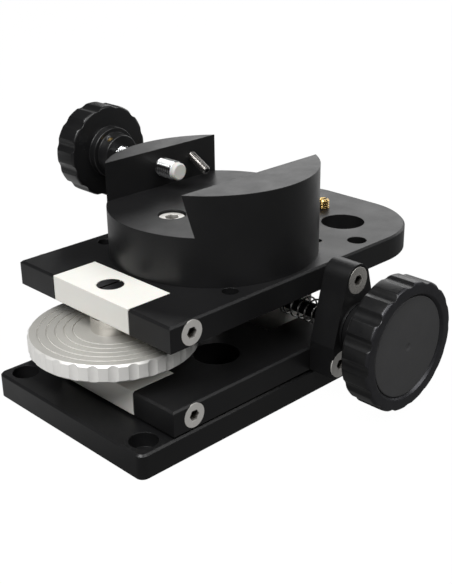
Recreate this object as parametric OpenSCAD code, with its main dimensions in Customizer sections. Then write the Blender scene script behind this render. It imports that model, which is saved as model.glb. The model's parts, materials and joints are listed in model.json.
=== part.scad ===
// Fine adjustment mount for a small telescope. A base carries an azimuth plate that turns a few
// degrees, and an altitude plate tilts on two cheeks. A hand wheel sets the tilt, a knob sets the
// azimuth, and a round saddle on top clamps a dovetail bar.
// +X runs from the hand wheel towards the hinge, +Y to the clamp knob's side, +Z up.
// The origin is the centre of the base's four bolt holes, on its underside.

/* [Base plate] */
// Length of the base
base_len = 133; // [124:1:160]
// Width of the base
base_wid = 90; // [84:1:108]
// Thickness of the base
base_thk = 10; // [10:0.5:14]
// Distance of the bolt holes from the base's edges
base_hole_inset = 8; // [7.5:0.5:9]
// Diameter of the base's bolt holes, for M6
base_hole_d = 6.6; // [5.5:0.1:6.6]
// Diameter of the counterbores over the bolt holes
base_cbore_d = 11; // [9:0.5:12]
// Depth of the counterbores
base_cbore_depth = 6; // [4:0.5:6.5]
// Rounding of the base's upright corners
base_corner_r = 3; // [1:0.5:5]

/* [Moving plates] */
// Width of the azimuth and altitude plates
plate_wid = 90; // [84:1:100]
// Thickness of the azimuth and altitude plates
plate_thk = 10; // [10:0.5:12]
// Distance of the plates' wheel end from the base's end
plate_setback = 15.5; // [15:0.5:18]
// Height of the gap between the two plates
plate_gap = 23; // [21:0.5:28]
// Length of the altitude plate
alt_plate_len = 153; // [145:1:184]
// Radius of the altitude plate's corners at the hinge end
alt_corner_r = 32; // [20:1:38]
// Size of the chamfer along the plates' top edges
edge_chamfer = 0.8; // [0.4:0.1:1.2]
// Diameter of the large access holes
access_d = 18.6; // [15:0.2:19]
// Distance of the azimuth plate's access holes from the centre line
az_access_y = 22.4; // [20:0.2:24]
// Distance of the altitude plate's access holes from the centre line
alt_access_y = 18.2; // [15:0.2:22]
// Position of the altitude plate's access holes
alt_access_x = 72; // [68:0.5:74]
// Diameter of the screwdriver holes over the base's bolts
driver_hole_d = 8; // [6:0.5:8.5]
// Diameter of the tapped holes beside the saddle
tapped_d = 6.4; // [4:0.1:6.5]
// Position of the tapped holes beside the saddle
tapped_x = -14.5; // [-18:0.5:-12]

/* [Azimuth pivot] */
// Position of the azimuth pivot on the centre line
pivot_x = -8.5; // [-12:0.5:-6]
// Diameter of the pivot bolt's shoulder
pivot_d = 12; // [10:0.5:14]
// Diameter of the pivot bolt's head
pivot_head_d = 17; // [16:0.5:18]
// Height of the pivot bolt's head
pivot_head_h = 4; // [3:0.5:4]
// Diameter of the pivot bolt's thread in the base
pivot_thread_d = 8; // [6:0.5:9]
// Outer diameter of the glide ring
glide_d = 26; // [22:0.5:28]
// Diameter of the two glide pads under the azimuth plate's arms
glide_pad_d = 12; // [8:0.5:14]
// Height of the gap between the base and the azimuth plate
glide_proud = 1.2; // [1:0.1:2]
// Depth of the recesses that hold the glide ring and pads
glide_groove = 1; // [0.6:0.1:1.5]

/* [Altitude drive] */
// Distance of the blocks' cross screws from the plates' wheel end
trunnion_inset = 10; // [9:0.5:11]
// Length of the white blocks along X
block_len = 20; // [18:0.5:20]
// Width of the two white blocks that the spindle runs through
block_wid = 44.8; // [42:0.2:48]
// Diameter of the cross screws' pins
trunnion_d = 6; // [5:0.5:6]
// Diameter of the cross screws' heads
trunnion_head_d = 9.6; // [9:0.1:9.8]
// Length of a cross screw's pin inside its block
trunnion_reach = 9; // [6:0.5:12]
// Gap between a block and the closed end of its slot
slot_end_gap = 0.6; // [0.5:0.1:1]
// Diameter of the altitude spindle
spindle_d = 10; // [9:0.5:10]
// Diameter of the hand wheel
wheel_d = 65; // [60:0.5:72]
// Thickness of the hand wheel's rim
wheel_thk = 7; // [5:0.5:8]
// Height of the wheel's underside above the azimuth plate
wheel_lift = 8.4; // [8:0.2:10]
// Number of scallops around the wheel
wheel_scallops = 28; // [20:1:32]
// Depth of the wheel's scallops
wheel_scallop_depth = 0.6; // [0.3:0.1:0.8]
// Number of ring grooves in the wheel's top
wheel_grooves = 5; // [3:1:6]
// Spacing of the ring grooves
wheel_groove_step = 3.35; // [2.5:0.05:3.6]
// Diameter of the collars above and below the wheel
collar_d = 17.2; // [15:0.2:18]
// Gap between the upper collar and the upper block
collar_gap = 1.6; // [1.5:0.1:3]

/* [Cheeks and hinge] */
// Distance of the hinge and the cheeks' centre line from the azimuth plate's end
hinge_inset = 16; // [15:0.5:18]
// Thickness of a cheek
cheek_thk = 12; // [10:0.5:14]
// Width of a cheek's lower part
cheek_wid = 27; // [26:0.5:30]
// Radius of a cheek's round top
cheek_top_r = 6.7; // [6.5:0.1:7]
// Height of a cheek's straight lower part
cheek_foot_h = 13; // [11:0.5:14]
// Diameter of the cheeks' screw heads
cheek_head_d = 11; // [9:0.5:11]
// Distance of the cheek fixing screws from the cheek's centre line
cheek_screw_x = 9; // [7:0.5:9]
// Diameter of the hinge screws' shoulders
hinge_d = 7; // [6:0.5:7]

/* [Azimuth drive] */
// Height of the azimuth screw above the azimuth plate
az_screw_z = 8.1; // [7.5:0.1:10]
// Diameter of the azimuth screw
az_screw_d = 6; // [5:0.5:6]
// Diameter of the azimuth screw's journal in the cheek
az_journal_d = 8; // [7:0.5:9]
// Length of the azimuth block across the mount
az_block_wid = 39; // [36:0.5:39]
// Height of the azimuth block
az_block_h = 27; // [24:0.5:28]
// Width of the slot that the azimuth block stands in
az_slot_wid = 46; // [46:0.5:48]
// Length of the slot that the azimuth block stands in
az_slot_len = 30; // [29:0.5:31]
// Outer diameter of the azimuth spring
spring_d = 10.6; // [9:0.2:11]
// Diameter of the spring's wire
spring_wire_d = 1; // [0.8:0.1:1.2]
// Diameter of the azimuth knob
az_knob_d = 52; // [44:1:60]
// Thickness of the azimuth knob's rim
az_knob_thk = 12.6; // [10:0.2:15]
// Number of scallops around the azimuth knob
az_knob_scallops = 16; // [10:1:18]
// Angle of the azimuth knob's first scallop
az_knob_phase = 3; // [0:0.5:20]
// Distance between a cheek's face and the azimuth knob's rim
az_knob_hub = 13.4; // [11:0.2:16]
// Diameter of the azimuth knob's boss
az_boss_d = 22; // [18:0.5:24]

/* [Saddle and clamp] */
// Diameter of the saddle
saddle_d = 85; // [76:1:88]
// Height of the saddle
saddle_h = 35.6; // [32:0.2:42]
// Thickness of the saddle under the channel
saddle_floor = 19.6; // [16:0.2:20]
// Position of the saddle's centre
saddle_x = 12.5; // [11:0.5:14]
// Distance of the near jaw's top edge from the centre line
jaw_near_y = 22.1; // [20:0.1:24]
// Distance of the far jaw's face from the centre line
jaw_far_y = 30.2; // [28:0.1:31]
// Undercut angle of the near jaw
jaw_angle = 13; // [8:0.5:15]
// Distance between the saddle's two cap screws
saddle_screw_pitch = 44; // [40:0.5:46]
// Diameter of the clamp screw
clamp_d = 8; // [6:0.5:8]
// Distance that the clamp screw's tip stands out of the far jaw
clamp_out = 10.8; // [8:0.1:13]
// Length of the clamp screw's nylon tip
clamp_tip_len = 2.5; // [2:0.5:5]
// Diameter of the clamp knob
clamp_knob_d = 40; // [34:1:46]
// Thickness of the clamp knob's rim
clamp_knob_thk = 12; // [10:0.5:14]
// Number of scallops around the clamp knob
clamp_knob_scallops = 12; // [8:1:14]
// Angle of the clamp knob's first scallop
clamp_knob_phase = 15; // [0:0.5:20]
// Length of the clamp knob's boss behind its rim
clamp_hub_len = 8.8; // [7:0.2:11]
// Diameter of the clamp knob's boss
clamp_boss_d = 18; // [15:0.5:19]
// Distance between the saddle's side and the clamp knob's boss
clamp_knob_gap = 14.4; // [13:0.2:18]
// Diameter of the slanted safety screw
safety_d = 4; // [3:0.5:4]
// Distance of the safety screw from the clamp screw
safety_x = 16.7; // [14:0.1:18]
// Downward slant of the safety screw
safety_angle = 28; // [20:1:32]

/* [Fits] */
// Radial clearance of a turning shaft in its hole
run_fit = 0.05; // [0.02:0.01:0.1]
// Gap between flat faces that slide on each other
slide_gap = 0.05; // [0.02:0.01:0.1]
// Radial clearance of the screws in the nuts that travel along them
thread_fit = 0.3; // [0.25:0.05:0.4]
// Side clearance of the blocks in their slots
slot_fit = 0.3; // [0.2:0.05:0.5]
// Radial clearance of a bolt in its plain hole
bolt_fit = 0.3; // [0.2:0.05:0.5]

/* [Hidden] */
// Curve finenesses
fine = 96;
mid = 48;
// A cut runs this far past the face it opens
past = 1;

// Levels
az_z0 = base_thk + glide_proud;
az_z1 = az_z0 + plate_thk;
alt_z0 = az_z1 + plate_gap;
alt_z1 = alt_z0 + plate_thk;
floor_z = alt_z1 + saddle_floor;
saddle_z1 = alt_z1 + saddle_h;
jaw_mid_z = (floor_z + saddle_z1) / 2;
hinge_z = alt_z0 + plate_thk / 2;
lower_z = az_z0 + plate_thk / 2;
az_axis_z = az_z1 + az_screw_z;
wheel_z0 = az_z1 + wheel_lift;
wheel_z1 = wheel_z0 + wheel_thk;
spindle_z0 = az_z0 + slide_gap;
pivot_head_z1 = az_z1 - slide_gap;
pivot_head_z0 = pivot_head_z1 - pivot_head_h;

// Places along X
plate_x0 = plate_setback - base_len / 2;
az_x1 = base_len / 2 - plate_setback;
alt_x1 = plate_x0 + alt_plate_len;
trunnion_x = plate_x0 + trunnion_inset;
hinge_x = az_x1 - hinge_inset;
az_slot_x0 = az_x1 - az_slot_len;
az_block_x = az_x1 - block_len / 2;
base_hole_x = base_len / 2 - base_hole_inset;
base_hole_y = base_wid / 2 - base_hole_inset;
glide_pad_x = az_slot_x0 + az_slot_len / 2;
glide_pad_y = (az_slot_wid + plate_wid) / 4;
saddle_r = saddle_d / 2;

// Places along Y
side_y = plate_wid / 2;
cheek_y = side_y + cheek_thk;
slot_wid = block_wid + 2 * slot_fit;
az_slot_y = az_slot_wid / 2;
block_face_y = az_block_wid / 2;

// Countersunk and cap screws
head_land = 0.4;
head_h = 2.6;
socket_af = 4;
socket_depth = 3;
pivot_socket_af = 6;
screw_d = 6;
cap_head_d = 10;
cap_head_h = 6;
cap_sink = 1;
cap_socket_af = 5;
cap_cbore_d = 11.2;
cap_seat_z = floor_z - cap_head_h - cap_sink;
cheek_screw_wall = 5;
hinge_thread_len = 12;
washer_thk = 1;
block_washer_d = 18;
block_pin_reach = 12;
bush_wall = 1.5;
slot_w = 1.2;
slot_deep = 1.4;

// Spindle's retaining clip
clip_thk = 0.8;
clip_d = 14;
clip_seat_d = spindle_d - 1;
clip_mouth = clip_seat_d * 0.6;

// Small holes and the brass stud in the altitude plate
small_hole_d = 4;
small_hole_x = 47;
small_hole_y = 25.5;
stud_d = 5;
stud_x = 80.5;
stud_proud = 4.2;

// Knobs
knob_edge = 1.3;
knob_scallop_r = 4;
knob_scallop_depth = 1;
boss_taper = 0.94;
boss_share = 0.6;
step_extra_d = 4;
grub_share = 0.3;
cap_share = 0.78;
cap_recess = 1.6;
cap_thk = 0.8;
az_hub_y = cheek_y + washer_thk + slide_gap;
az_hub_len = az_knob_hub - washer_thk - slide_gap;
az_front_y = az_hub_y + az_hub_len + az_knob_thk;
az_bore_len = az_hub_len + az_knob_thk / 2;
thrust_washer_d = az_boss_d - 1;
clamp_hub_y = saddle_r + clamp_knob_gap;
clamp_front_y = clamp_hub_y + clamp_hub_len + clamp_knob_thk;
clamp_bore_len = clamp_hub_len + clamp_knob_thk / 2;
clamp_tip_y = jaw_far_y - clamp_out;
tip_end_y = clamp_tip_y + clamp_tip_len;
az_grub_d = 4;
az_grub_y = -az_hub_y - az_hub_len * grub_share;
az_grub_h = (az_boss_d * boss_taper - az_journal_d) / 2 - past / 2;
clamp_grub_d = 3;
clamp_grub_lean = 30;
clamp_grub_y = clamp_hub_y + clamp_hub_len * grub_share;
clamp_grub_h = (clamp_boss_d * boss_taper - clamp_d) / 2 - past / 2;

// Clamp screw's tip and the safety screw
tip_d = clamp_d - 0.8;
tip_chamfer = 0.5;
tip_stem_d = 3;
tip_stem_len = 5;
safety_in = 10;
safety_out = 7;
safety_socket_af = 2;

// Hand wheel's turned grooves and the spring's ends
wheel_inner_groove = 15.2;
wheel_groove_w = 0.6;
wheel_groove_deep = 0.5;
wheel_scallop_r = 3.5;
spring_end_gap = 0.3;

// Outline of a bar's end, with a chamfer on its two top edges
module chamfered_outline(w, h, c)
    polygon([[-w / 2, 0], [w / 2, 0], [w / 2, h - c], [w / 2 - c, h], [c - w / 2, h], [-w / 2, h - c]]);

// Flat plate from x0 to x1, centred on Y, standing on z0, with chamfered top edges
module slab(x0, x1, wid, z0, thk, c) {
    len = x1 - x0;
    translate([x0, 0, z0]) intersection() {
        rotate([90, 0, 90]) linear_extrude(len) chamfered_outline(wid, thk, c);
        translate([len / 2, wid / 2, 0]) rotate([90, 0, 0])
            linear_extrude(wid) chamfered_outline(len, thk, c);
    }
}

// What is cut off a plate's corner at +X +Y to round it, around the corner arc's centre
module corner_cut(r, z0, thk, c)
    translate([0, 0, z0]) difference() {
        translate([0, 0, -past]) cube([r + past, r + past, thk + 2 * past]);
        translate([0, 0, -2 * past]) cylinder(r = r, h = thk - c + 2 * past, $fn = fine);
        translate([0, 0, thk - c]) cylinder(r1 = r, r2 = r - c, h = c, $fn = fine);
        translate([0, 0, thk]) cylinder(r = r - c, h = 2 * past, $fn = fine);
    }

// Things repeated at both sides of the centre line
module both_sides() {
    children();
    mirror([0, 1, 0]) children();
}

// Things repeated at both ends of the base
module both_ends() {
    children();
    mirror([1, 0, 0]) children();
}

// Upright hole right through a plate that stands on z0
module drill(x, y, z0, thk, d)
    translate([x, y, z0 - past]) cylinder(d = d, h = thk + 2 * past, $fn = mid);

// Flat ring standing on the origin
module ring(outer_d, inner_d, h)
    difference() {
        cylinder(d = outer_d, h = h, $fn = mid);
        translate([0, 0, -past]) cylinder(d = inner_d, h = h + 2 * past, $fn = mid);
    }

// Rod that hangs from the origin along -Z
module rod_down(d, h)
    translate([0, 0, -h]) cylinder(d = d, h = h, $fn = mid);

// Rod along Y from y0 to y1
module y_rod(x, z, y0, y1, d)
    translate([x, y0, z]) rotate([-90, 0, 0]) cylinder(d = d, h = y1 - y0, $fn = mid);

// Turns a part's own -Z to the mount's +Y, with its face at y on the near side
module from_near_side(x, y, z)
    translate([x, -y, z]) rotate([90, 0, 0]) children();

// Hexagonal socket, open towards +Z at the origin
module socket_cut(af, depth)
    translate([0, 0, -depth]) cylinder(d = af / cos(30), h = depth + past, $fn = 6);

// Body of a countersunk screw along -Z with its flat face at the origin
module flat_screw_body(head_d, d, len) {
    rod_down(head_d, head_land);
    translate([0, 0, -head_h]) cylinder(d1 = d, d2 = head_d, h = head_h - head_land, $fn = mid);
    rod_down(d, len);
}

module flat_screw(head_d, d, len)
    difference() {
        flat_screw_body(head_d, d, len);
        socket_cut(socket_af, socket_depth);
    }

// Seat cut for a countersunk screw, with its hole, open at the face
module flat_screw_seat(head_d, d, len) {
    flat_screw_body(head_d, d, len);
    cylinder(d = head_d, h = past, $fn = mid);
}

module base_plate() color("#18191b")
    difference() {
        slab(-base_len / 2, base_len / 2, base_wid, 0, base_thk, edge_chamfer);
        both_ends() both_sides() {
            translate([base_len / 2 - base_corner_r, base_wid / 2 - base_corner_r, 0])
                corner_cut(base_corner_r, 0, base_thk, edge_chamfer);
            drill(base_hole_x, base_hole_y, 0, base_thk, base_hole_d);
            translate([base_hole_x, base_hole_y, base_thk - base_cbore_depth])
                cylinder(d = base_cbore_d, h = base_cbore_depth + past, $fn = mid);
        }
        translate([pivot_x, 0, base_thk - glide_groove])
            ring(glide_d + 2 * run_fit, pivot_d, glide_groove + past);
        both_sides() translate([glide_pad_x, glide_pad_y, base_thk - glide_groove])
            cylinder(d = glide_pad_d + 2 * run_fit, h = glide_groove + past, $fn = mid);
        drill(pivot_x, 0, 0, base_thk, pivot_thread_d + 2 * run_fit);
        translate([az_block_x, 0, 0]) mirror([0, 0, 1])
            flat_screw_seat(cheek_head_d, screw_d + 2 * run_fit, base_thk + past);
    }

// Slippery ring around the pivot, in a recess of the base
module glide_ring() color("#e8e6df")
    translate([pivot_x, 0, base_thk - glide_groove])
        ring(glide_d, pivot_d + 2 * bolt_fit, glide_groove + glide_proud - slide_gap);

module glide_pads() color("#e8e6df")
    both_sides() translate([glide_pad_x, glide_pad_y, base_thk - glide_groove])
        cylinder(d = glide_pad_d, h = glide_groove + glide_proud - slide_gap, $fn = mid);

// Shoulder bolt: the thread holds in the base and the azimuth plate turns on the shoulder
module azimuth_pivot_bolt() color("#b9bbbd")
    translate([pivot_x, 0, 0]) difference() {
        union() {
            translate([0, 0, past]) cylinder(d = pivot_thread_d, h = base_thk, $fn = mid);
            translate([0, 0, base_thk]) cylinder(d = pivot_d, h = pivot_head_z0 - base_thk, $fn = mid);
            translate([0, 0, pivot_head_z0]) cylinder(d = pivot_head_d, h = pivot_head_h, $fn = mid);
        }
        translate([0, 0, pivot_head_z1]) socket_cut(pivot_socket_af, socket_depth);
    }

module pivot_spring_washer() color("#c3c5c7")
    translate([pivot_x, 0, pivot_head_z0 - washer_thk]) ring(pivot_head_d, pivot_d + 2 * run_fit, washer_thk);

// Countersunk under the base, it stands up into the azimuth block
module block_pivot_screw() color("#b9bbbd")
    translate([az_block_x, 0, 0]) mirror([0, 0, 1])
        flat_screw(cheek_head_d, screw_d, base_thk + block_pin_reach);

module block_washer() color("#e8e6df")
    translate([az_block_x, 0, base_thk]) ring(block_washer_d, screw_d + 2 * run_fit, washer_thk);

// White block that the azimuth screw runs through; it stands up through the azimuth plate's slot
module azimuth_block() color("#f2f1ec") {
    z0 = base_thk + washer_thk + slide_gap;
    difference() {
        translate([az_x1 - block_len, -block_face_y, z0]) cube([block_len, az_block_wid, az_block_h]);
        translate([az_block_x, 0, z0 - past])
            cylinder(d = screw_d + 2 * run_fit, h = block_pin_reach + past, $fn = mid);
        y_rod(hinge_x, az_axis_z, -side_y, side_y, az_screw_d + 2 * thread_fit);
    }
}

// Slot at a plate's wheel end that takes a spindle block
module block_slot(z0)
    translate([plate_x0 - past, -slot_wid / 2, z0 - past])
        cube([block_len + slot_end_gap + past, slot_wid, plate_thk + 2 * past]);

module azimuth_plate() color("#141517")
    difference() {
        slab(plate_x0, az_x1, plate_wid, az_z0, plate_thk, edge_chamfer);
        block_slot(az_z0);
        translate([az_slot_x0, -az_slot_y, az_z0 - past])
            cube([az_slot_len + past, az_slot_wid, plate_thk + 2 * past]);
        drill(pivot_x, 0, az_z0, plate_thk, pivot_d + 2 * run_fit);
        translate([pivot_x, 0, pivot_head_z0 - washer_thk - slide_gap])
            cylinder(d = pivot_head_d + 2 * bolt_fit, h = plate_thk, $fn = mid);
        both_sides() {
            drill(pivot_x, az_access_y, az_z0, plate_thk, access_d);
            from_near_side(trunnion_x, side_y, lower_z)
                flat_screw_seat(trunnion_head_d, trunnion_d + 2 * run_fit, side_y - slot_wid / 2 + past);
            for (side = [-1, 1])
                from_near_side(hinge_x + side * cheek_screw_x, side_y + past, lower_z)
                rod_down(screw_d + 2 * run_fit, side_y - az_slot_y - cheek_screw_wall + 2 * past);
        }
    }

// Outline of a cheek seen from the near side, round at the hinge and wide at its foot
module cheek_outline() {
    foot_z = az_z0 + cheek_foot_h;
    rise = hinge_z - foot_z;
    half = cheek_wid / 2;
    lean = acos(cheek_top_r / norm([rise, half])) - atan2(rise, half);
    tangent_x = cheek_top_r * cos(lean);
    tangent_z = hinge_z + cheek_top_r * sin(lean);
    translate([hinge_x, hinge_z]) circle(r = cheek_top_r, $fn = mid);
    translate([hinge_x, 0]) polygon([
        [-half, az_z0], [half, az_z0], [half, foot_z], [tangent_x, tangent_z],
        [-tangent_x, tangent_z], [-half, foot_z]
    ]);
}

// Cheek on the near side; only the near one has a hole for the azimuth screw's bush
module cheek(with_screw)
    difference() {
        translate([0, -side_y, 0]) rotate([90, 0, 0]) linear_extrude(cheek_thk) cheek_outline();
        from_near_side(hinge_x, cheek_y, hinge_z)
            flat_screw_seat(cheek_head_d + 2 * bolt_fit, hinge_d + 2 * bush_wall, cheek_thk + past);
        for (side = [-1, 1])
            from_near_side(hinge_x + side * cheek_screw_x, cheek_y, lower_z)
            flat_screw_seat(cheek_head_d, screw_d + 2 * run_fit, cheek_thk + past);
        if (with_screw)
            from_near_side(hinge_x, cheek_y + past, az_axis_z)
            rod_down(az_journal_d + 2 * bush_wall, cheek_thk + 2 * past);
    }

module near_cheek() color("#131416") cheek(true);

module far_cheek() color("#131416") mirror([0, 1, 0]) cheek(false);

module cheek_screws() color("#cfcfca")
    both_sides() for (side = [-1, 1])
        from_near_side(hinge_x + side * cheek_screw_x, cheek_y, lower_z)
        flat_screw(cheek_head_d, screw_d, cheek_y - az_slot_y - cheek_screw_wall);

// Plain bushes in the cheeks that the hinge screws' shoulders turn in
module hinge_bushes() color("#a8772f")
    both_sides() translate([hinge_x, -side_y, hinge_z]) rotate([90, 0, 0])
        ring(hinge_d + 2 * bush_wall, hinge_d + 2 * run_fit, cheek_thk - head_h - slide_gap);

module cross_screws(z)
    both_sides() from_near_side(trunnion_x, side_y, z)
        flat_screw(trunnion_head_d, trunnion_d, side_y - block_wid / 2 + trunnion_reach);

module lower_cross_screws() color("#cfcfca") cross_screws(lower_z);

module upper_cross_screws() color("#cfcfca") cross_screws(hinge_z);

// White block between a plate's two arms, with a bore for the spindle
module spindle_block(z0, bore_d)
    difference() {
        translate([plate_x0, -block_wid / 2, z0]) cube([block_len, block_wid, plate_thk]);
        drill(trunnion_x, 0, z0, plate_thk, bore_d);
        both_sides() from_near_side(trunnion_x, block_wid / 2 + past, z0 + plate_thk / 2)
            rod_down(trunnion_d + 2 * run_fit, trunnion_reach + 1.5 * past);
    }

module lower_block() color("#f2f1ec")
    difference() {
        spindle_block(az_z0, spindle_d + 2 * run_fit);
        translate([trunnion_x, 0, az_z0 - past])
            cylinder(d = clip_d + 2 * bolt_fit, h = past + clip_thk + 2 * slide_gap, $fn = mid);
    }

module upper_block() color("#f2f1ec") spindle_block(alt_z0, spindle_d + 2 * thread_fit);

module azimuth_screw_bush() color("#a8772f")
    translate([hinge_x, -side_y, az_axis_z]) rotate([90, 0, 0])
        ring(az_journal_d + 2 * bush_wall, az_journal_d + 2 * run_fit, cheek_thk);

module azimuth_thrust_washer() color("#1d1e20")
    translate([hinge_x, -cheek_y, az_axis_z]) rotate([90, 0, 0])
        ring(thrust_washer_d, az_journal_d + 2 * run_fit, washer_thk);

// Open tube the size of the coil spring, between the near cheek and the azimuth block
module azimuth_spring() color("#c9c9c4")
    translate([hinge_x, -block_face_y - spring_end_gap, az_axis_z]) rotate([90, 0, 0])
        ring(spring_d, spring_d - 2 * spring_wire_d, side_y - block_face_y - 2 * spring_end_gap);

// Screw with a plain journal that turns in the cheek's bush and carries the knob
module azimuth_screw() color("#26272a") {
    y_rod(hinge_x, az_axis_z, -side_y, block_face_y, az_screw_d);
    y_rod(hinge_x, az_axis_z, past / 2 - az_hub_y - az_bore_len, -side_y, az_journal_d);
}

// Shallow grip scallops cut around a round rim that stands on the origin
module scallops(rim_d, thk, count, r, depth)
    for (i = [0:count - 1]) rotate([0, 0, i * 360 / count])
        translate([rim_d / 2 + r - depth, 0, -past]) cylinder(r = r, h = thk + 2 * past, $fn = mid);

// Knob that grows along +Z from its boss: a step, a scalloped rim and a shallow recess in the front
module grip_knob(rim_d, rim_thk, boss_d, hub_len, bore_d, bore_len, count, phase) {
    step_z = hub_len * boss_share;
    step_r = boss_d / 2 + step_extra_d / 2;
    front_z = hub_len + rim_thk;
    difference() {
        rotate_extrude($fn = fine) polygon([
            [0, 0], [boss_d / 2 * boss_taper, 0], [boss_d / 2, step_z], [step_r, step_z],
            [step_r, hub_len], [rim_d / 2 - knob_edge, hub_len], [rim_d / 2, hub_len + knob_edge],
            [rim_d / 2, front_z - knob_edge], [rim_d / 2 - knob_edge, front_z], [0, front_z]
        ]);
        translate([0, 0, -past]) cylinder(d = bore_d, h = bore_len + past, $fn = mid);
        translate([0, 0, front_z - cap_recess])
            cylinder(d = rim_d * cap_share, h = cap_recess + past, $fn = fine);
        translate([0, 0, hub_len]) rotate([0, 0, phase])
            scallops(rim_d, rim_thk, count, knob_scallop_r, knob_scallop_depth);
    }
}

// Hole for a grub screw that stands on a shaft, or with a height the grub screw itself. It leans
// from upright towards -X.
module grub(x, y, z, lean, d, shaft_d, h)
    translate([x, y, z]) rotate([0, -lean, 0]) translate([0, 0, shaft_d / 2 + run_fit])
        cylinder(d = d, h = h, $fn = mid);

module azimuth_knob() color("#1d1e20")
    difference() {
        translate([hinge_x, -az_hub_y, az_axis_z]) rotate([90, 0, 0]) grip_knob(
            az_knob_d, az_knob_thk, az_boss_d, az_hub_len, az_journal_d + 2 * run_fit, az_bore_len,
            az_knob_scallops, az_knob_phase
        );
        grub(hinge_x, az_grub_y, az_axis_z, 0, az_grub_d + 2 * run_fit, az_journal_d, az_boss_d);
    }

module azimuth_knob_grub() color("#a9acae")
    grub(hinge_x, az_grub_y, az_axis_z, 0, az_grub_d, az_journal_d, az_grub_h);

module azimuth_knob_cap() color("#2a2b2d")
    y_rod(hinge_x, az_axis_z, cap_recess - cap_thk - az_front_y, cap_recess - slide_gap - az_front_y,
        az_knob_d * cap_share - 2 * run_fit);

module altitude_spindle() color("#8d8f92")
    translate([trunnion_x, 0, 0]) difference() {
        translate([0, 0, spindle_z0]) cylinder(d = spindle_d, h = alt_z1 - spindle_z0, $fn = mid);
        translate([-spindle_d, -slot_w / 2, alt_z1 - slot_deep])
            cube([2 * spindle_d, slot_w, slot_deep + past]);
        translate([0, 0, spindle_z0 + slide_gap / 2]) ring(spindle_d + past, clip_seat_d, clip_thk);
    }

// Open clip in the spindle's groove, under the lower block
module spindle_clip() color("#c3c5c7")
    translate([trunnion_x, 0, spindle_z0 + slide_gap]) difference() {
        ring(clip_d, clip_seat_d + 2 * run_fit, clip_thk - slide_gap);
        translate([0, -clip_mouth / 2, -past]) cube([clip_d, clip_mouth, 3 * past]);
    }

module altitude_wheel() color("#d6d6d3")
    translate([trunnion_x, 0, wheel_z0]) difference() {
        rotate_extrude($fn = fine) polygon([
            [0, 0], [wheel_d / 2 - edge_chamfer, 0], [wheel_d / 2, edge_chamfer],
            [wheel_d / 2, wheel_thk - edge_chamfer], [wheel_d / 2 - edge_chamfer, wheel_thk], [0, wheel_thk]
        ]);
        translate([0, 0, -past]) cylinder(d = spindle_d + 2 * run_fit, h = wheel_thk + 2 * past, $fn = mid);
        for (i = [0:wheel_grooves - 1]) {
            mean_d = 2 * (wheel_inner_groove + i * wheel_groove_step);
            translate([0, 0, wheel_thk - wheel_groove_deep])
                ring(mean_d + wheel_groove_w, mean_d - wheel_groove_w, wheel_groove_deep + past);
        }
        scallops(wheel_d, wheel_thk, wheel_scallops, wheel_scallop_r, wheel_scallop_depth);
    }

// Plain collar on the spindle from z0 to z1
module spindle_collar(z0, z1)
    translate([trunnion_x, 0, z0]) ring(collar_d, spindle_d + 2 * run_fit, z1 - z0);

module upper_collar() color("#cfcfcc") spindle_collar(wheel_z1, alt_z0 - collar_gap);

module lower_collar() color("#cfcfcc") spindle_collar(az_z1 + slide_gap, wheel_z0);

module altitude_plate() color("#17181a")
    difference() {
        slab(plate_x0, alt_x1, plate_wid - 2 * slide_gap, alt_z0, plate_thk, edge_chamfer);
        block_slot(alt_z0);
        both_sides() {
            translate([alt_x1 - alt_corner_r, side_y - slide_gap - alt_corner_r, 0])
                corner_cut(alt_corner_r, alt_z0, plate_thk, edge_chamfer);
            drill(alt_access_x, alt_access_y, alt_z0, plate_thk, access_d);
            drill(base_hole_x, base_hole_y, alt_z0, plate_thk, driver_hole_d);
            drill(tapped_x, base_hole_y, alt_z0, plate_thk, tapped_d);
            drill(small_hole_x, small_hole_y, alt_z0, plate_thk, small_hole_d);
            from_near_side(trunnion_x, side_y, hinge_z)
                flat_screw_seat(trunnion_head_d, trunnion_d + 2 * run_fit, side_y - slot_wid / 2 + past);
            from_near_side(hinge_x, side_y + past, hinge_z)
                rod_down(screw_d + 2 * run_fit, hinge_thread_len + 2 * past);
        }
        for (side = [-1, 1])
            drill(saddle_x + side * saddle_screw_pitch / 2, 0, alt_z0, plate_thk, screw_d + 2 * run_fit);
        drill(stud_x, 0, alt_z0, plate_thk, stud_d + 2 * run_fit);
    }

// The shoulder turns in the cheek's bush and the thread holds in the altitude plate
module hinge_screws() color("#cfcfca")
    both_sides() from_near_side(hinge_x, cheek_y, hinge_z) {
        flat_screw(cheek_head_d, hinge_d, cheek_thk + slide_gap);
        translate([0, 0, -cheek_thk]) rod_down(screw_d, hinge_thread_len);
    }

module brass_stud() color("#c9a23f")
    translate([stud_x, 0, alt_z0 + past]) difference() {
        cylinder(d = stud_d, h = plate_thk - past + stud_proud, $fn = mid);
        translate([-stud_d, -slot_w / 2, plate_thk - past + stud_proud - slot_deep])
            cube([2 * stud_d, slot_w, slot_deep + past]);
    }

// Axis of the slanted safety screw: its +Z points down into the channel from the far jaw's face
module safety_axis()
    translate([saddle_x + safety_x, jaw_far_y, jaw_mid_z + past])
        rotate([90 + safety_angle, 0, 0]) children();

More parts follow.
